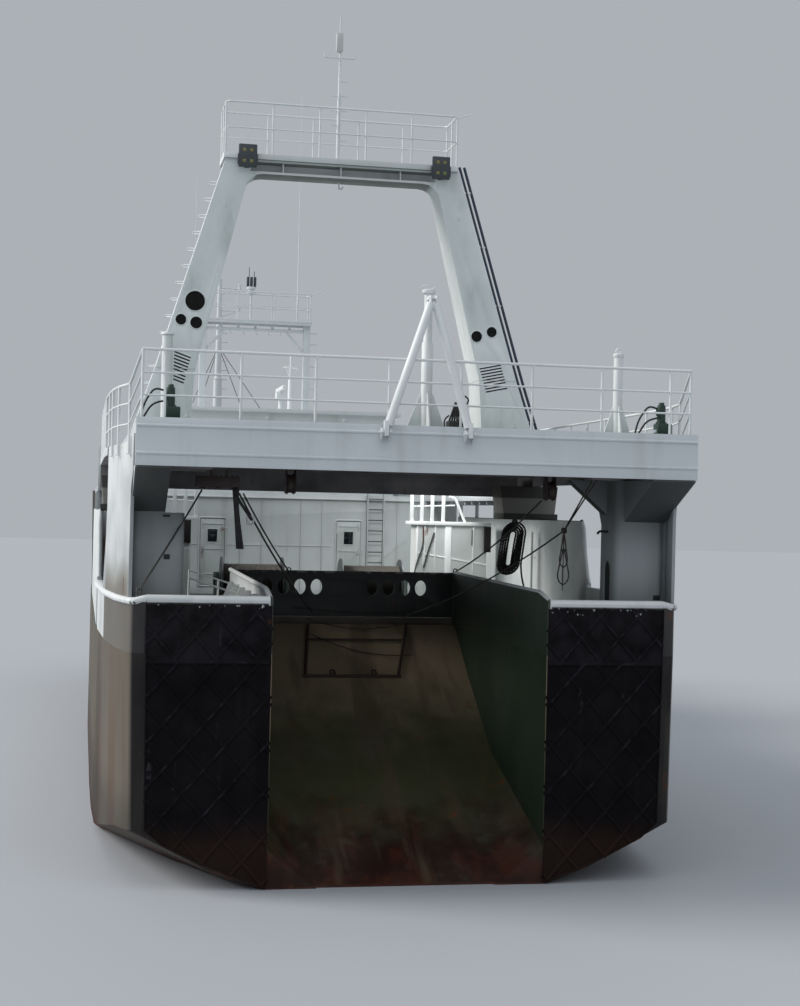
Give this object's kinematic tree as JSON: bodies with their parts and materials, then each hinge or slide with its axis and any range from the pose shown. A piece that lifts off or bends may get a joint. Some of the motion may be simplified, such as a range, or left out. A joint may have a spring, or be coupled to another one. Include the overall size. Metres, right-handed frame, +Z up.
{
  "type": "stern trawler",
  "caption": "Steel stern trawler afloat: hull with an open stern ramp, gantry deck and portal gantry aft, deckhouse, wheelhouse and masts forward.",
  "frame": {"origin": "amidships on the centreline, in the plane of the water it floats in", "axes": "+X to starboard, +Y to the bow, +Z up"},
  "size_m": [10.436, 39.16, 23.9],
  "materials": {
    "white_paint": "semi-gloss marine paint, weathered",
    "grey_paint": "semi-gloss marine paint, weathered",
    "hull_paint": "matt hull paint with rust",
    "green_paint": "dark green paint",
    "black_paint": "matt black paint",
    "dark_plate": "worn dark plate",
    "rusty_steel": "rusty steel",
    "drum_steel": "worn steel",
    "bronze": "cast bronze",
    "rope_ring": "wound rope",
    "black_rope": "thick black mooring rope",
    "raft_shell": "glass-fibre canister"
  },
  "bodies": {
    "ship": {"hull": "hull_paint", "starboard_bulwark": "white_paint", "port_bulwark": "white_paint", "starboard_quarter_plate": "dark_plate", "port_quarter_plate": "dark_plate", "starboard_stern_pillar": "white_paint", "port_stern_pillar": "white_paint", "gantry_deck": "white_paint", "gantry_deck_rail": "white_paint", "centre_post": "white_paint", "starboard_lead_post": "white_paint", "stern_gantry": "white_paint", "gantry_pipes": "dark_plate", "gantry_rail": "white_paint", "gantry_mast": "grey_paint", "starboard_floodlight": "black_paint", "port_floodlight": "black_paint", "port_vent_pipe": "white_paint", "port_corner_motor": "green_paint", "starboard_corner_motor": "green_paint", "starboard_rope_hank": "black_rope", "starboard_side_wall": "white_paint", "port_side_wall": "white_paint", "starboard_gangway": "grey_paint", "port_gangway": "grey_paint", "deckhouse": "white_paint", "starboard_casing": "white_paint", "port_casing": "white_paint", "forecastle": "hull_paint", "bow_bulwark": "white_paint", "wheelhouse": "white_paint", "portal_mast": "grey_paint", "foremast": "grey_paint", "port_trawl_winch": "green_paint", "starboard_trawl_winch": "green_paint", "windlass": "green_paint", "starboard_anchor": "black_paint", "port_anchor": "black_paint", "nozzle": "rusty_steel", "ramp_frame": "rusty_steel", "port_ring_fender": "rope_ring", "port_trawl_block": "black_paint", "starboard_trawl_block": "black_paint", "starboard_life_raft": "raft_shell", "port_life_raft": "raft_shell"},
    "fish_hatch_lid": {"fish_hatch_lid": "green_paint"},
    "ramp_gate": {"ramp_gate": "black_paint"},
    "a_frame": {"a_frame": "white_paint"},
    "port_aft_door": {"port_aft_door": "white_paint"},
    "starboard_aft_door": {"starboard_aft_door": "white_paint"},
    "starboard_wheelhouse_door": {"starboard_wheelhouse_door": "white_paint"},
    "port_wheelhouse_door": {"port_wheelhouse_door": "white_paint"},
    "radar_scanner": {"radar_scanner": "white_paint"},
    "port_trawl_drum": {"port_trawl_drum": "drum_steel"},
    "starboard_trawl_drum": {"starboard_trawl_drum": "drum_steel"},
    "windlass_barrel": {"windlass_barrel": "drum_steel"},
    "propeller": {"propeller": "bronze"},
    "rudder": {"rudder": "rusty_steel"}
  },
  "joints": [
    {"name": "a_frame_tilt", "type": "hinge", "parent": "ship", "child": "a_frame", "pos_m": [0, -19.65, 7.59], "axis": [1, 0, 0], "range_deg": [0, 75]},
    {"name": "ramp_gate_fold", "type": "hinge", "parent": "ship", "child": "ramp_gate", "pos_m": [0, -11.4, 4.11], "axis": [-1, 0, 0], "range_deg": [0, 85]},
    {"name": "fish_hatch_lift", "type": "hinge", "parent": "ship", "child": "fish_hatch_lid", "pos_m": [0, -8.675, 3.995], "axis": [-1, 0, 0], "range_deg": [0, 80]},
    {"name": "port_aft_door_swing", "type": "hinge", "parent": "ship", "child": "port_aft_door", "pos_m": [-1.575, -0.0223, 4.9], "axis": [0, 0, 1], "range_deg": [0, 110]},
    {"name": "starboard_aft_door_swing", "type": "hinge", "parent": "ship", "child": "starboard_aft_door", "pos_m": [1.575, -0.0223, 4.9], "axis": [0, 0, -1], "range_deg": [0, 110]},
    {"name": "port_wheelhouse_door_swing", "type": "hinge", "parent": "ship", "child": "port_wheelhouse_door", "pos_m": [-3.6223, 3.705, 7.8], "axis": [0, 0, -1], "range_deg": [0, 110]},
    {"name": "starboard_wheelhouse_door_swing", "type": "hinge", "parent": "ship", "child": "starboard_wheelhouse_door", "pos_m": [3.6223, 3.705, 7.8], "axis": [0, 0, 1], "range_deg": [0, 110]},
    {"name": "radar_turn", "type": "hinge", "parent": "ship", "child": "radar_scanner", "pos_m": [0.55, 5.4, 9.95], "axis": [0, 0, 1], "continuous": true},
    {"name": "port_trawl_drum_turn", "type": "hinge", "parent": "ship", "child": "port_trawl_drum", "pos_m": [-1.45, -6.3, 4.6], "axis": [1, 0, 0], "continuous": true},
    {"name": "starboard_trawl_drum_turn", "type": "hinge", "parent": "ship", "child": "starboard_trawl_drum", "pos_m": [1.45, -6.3, 4.6], "axis": [1, 0, 0], "continuous": true},
    {"name": "windlass_barrel_turn", "type": "hinge", "parent": "ship", "child": "windlass_barrel", "pos_m": [0, 15.1, 7.23], "axis": [1, 0, 0], "continuous": true},
    {"name": "propeller_turn", "type": "hinge", "parent": "ship", "child": "propeller", "pos_m": [0, -13.75, -2.27], "axis": [0, 1, 0], "continuous": true},
    {"name": "rudder_turn", "type": "hinge", "parent": "ship", "child": "rudder", "pos_m": [0, -14.95, -2], "axis": [0, 0, 1], "range_deg": [-35, 35]}
  ]
}
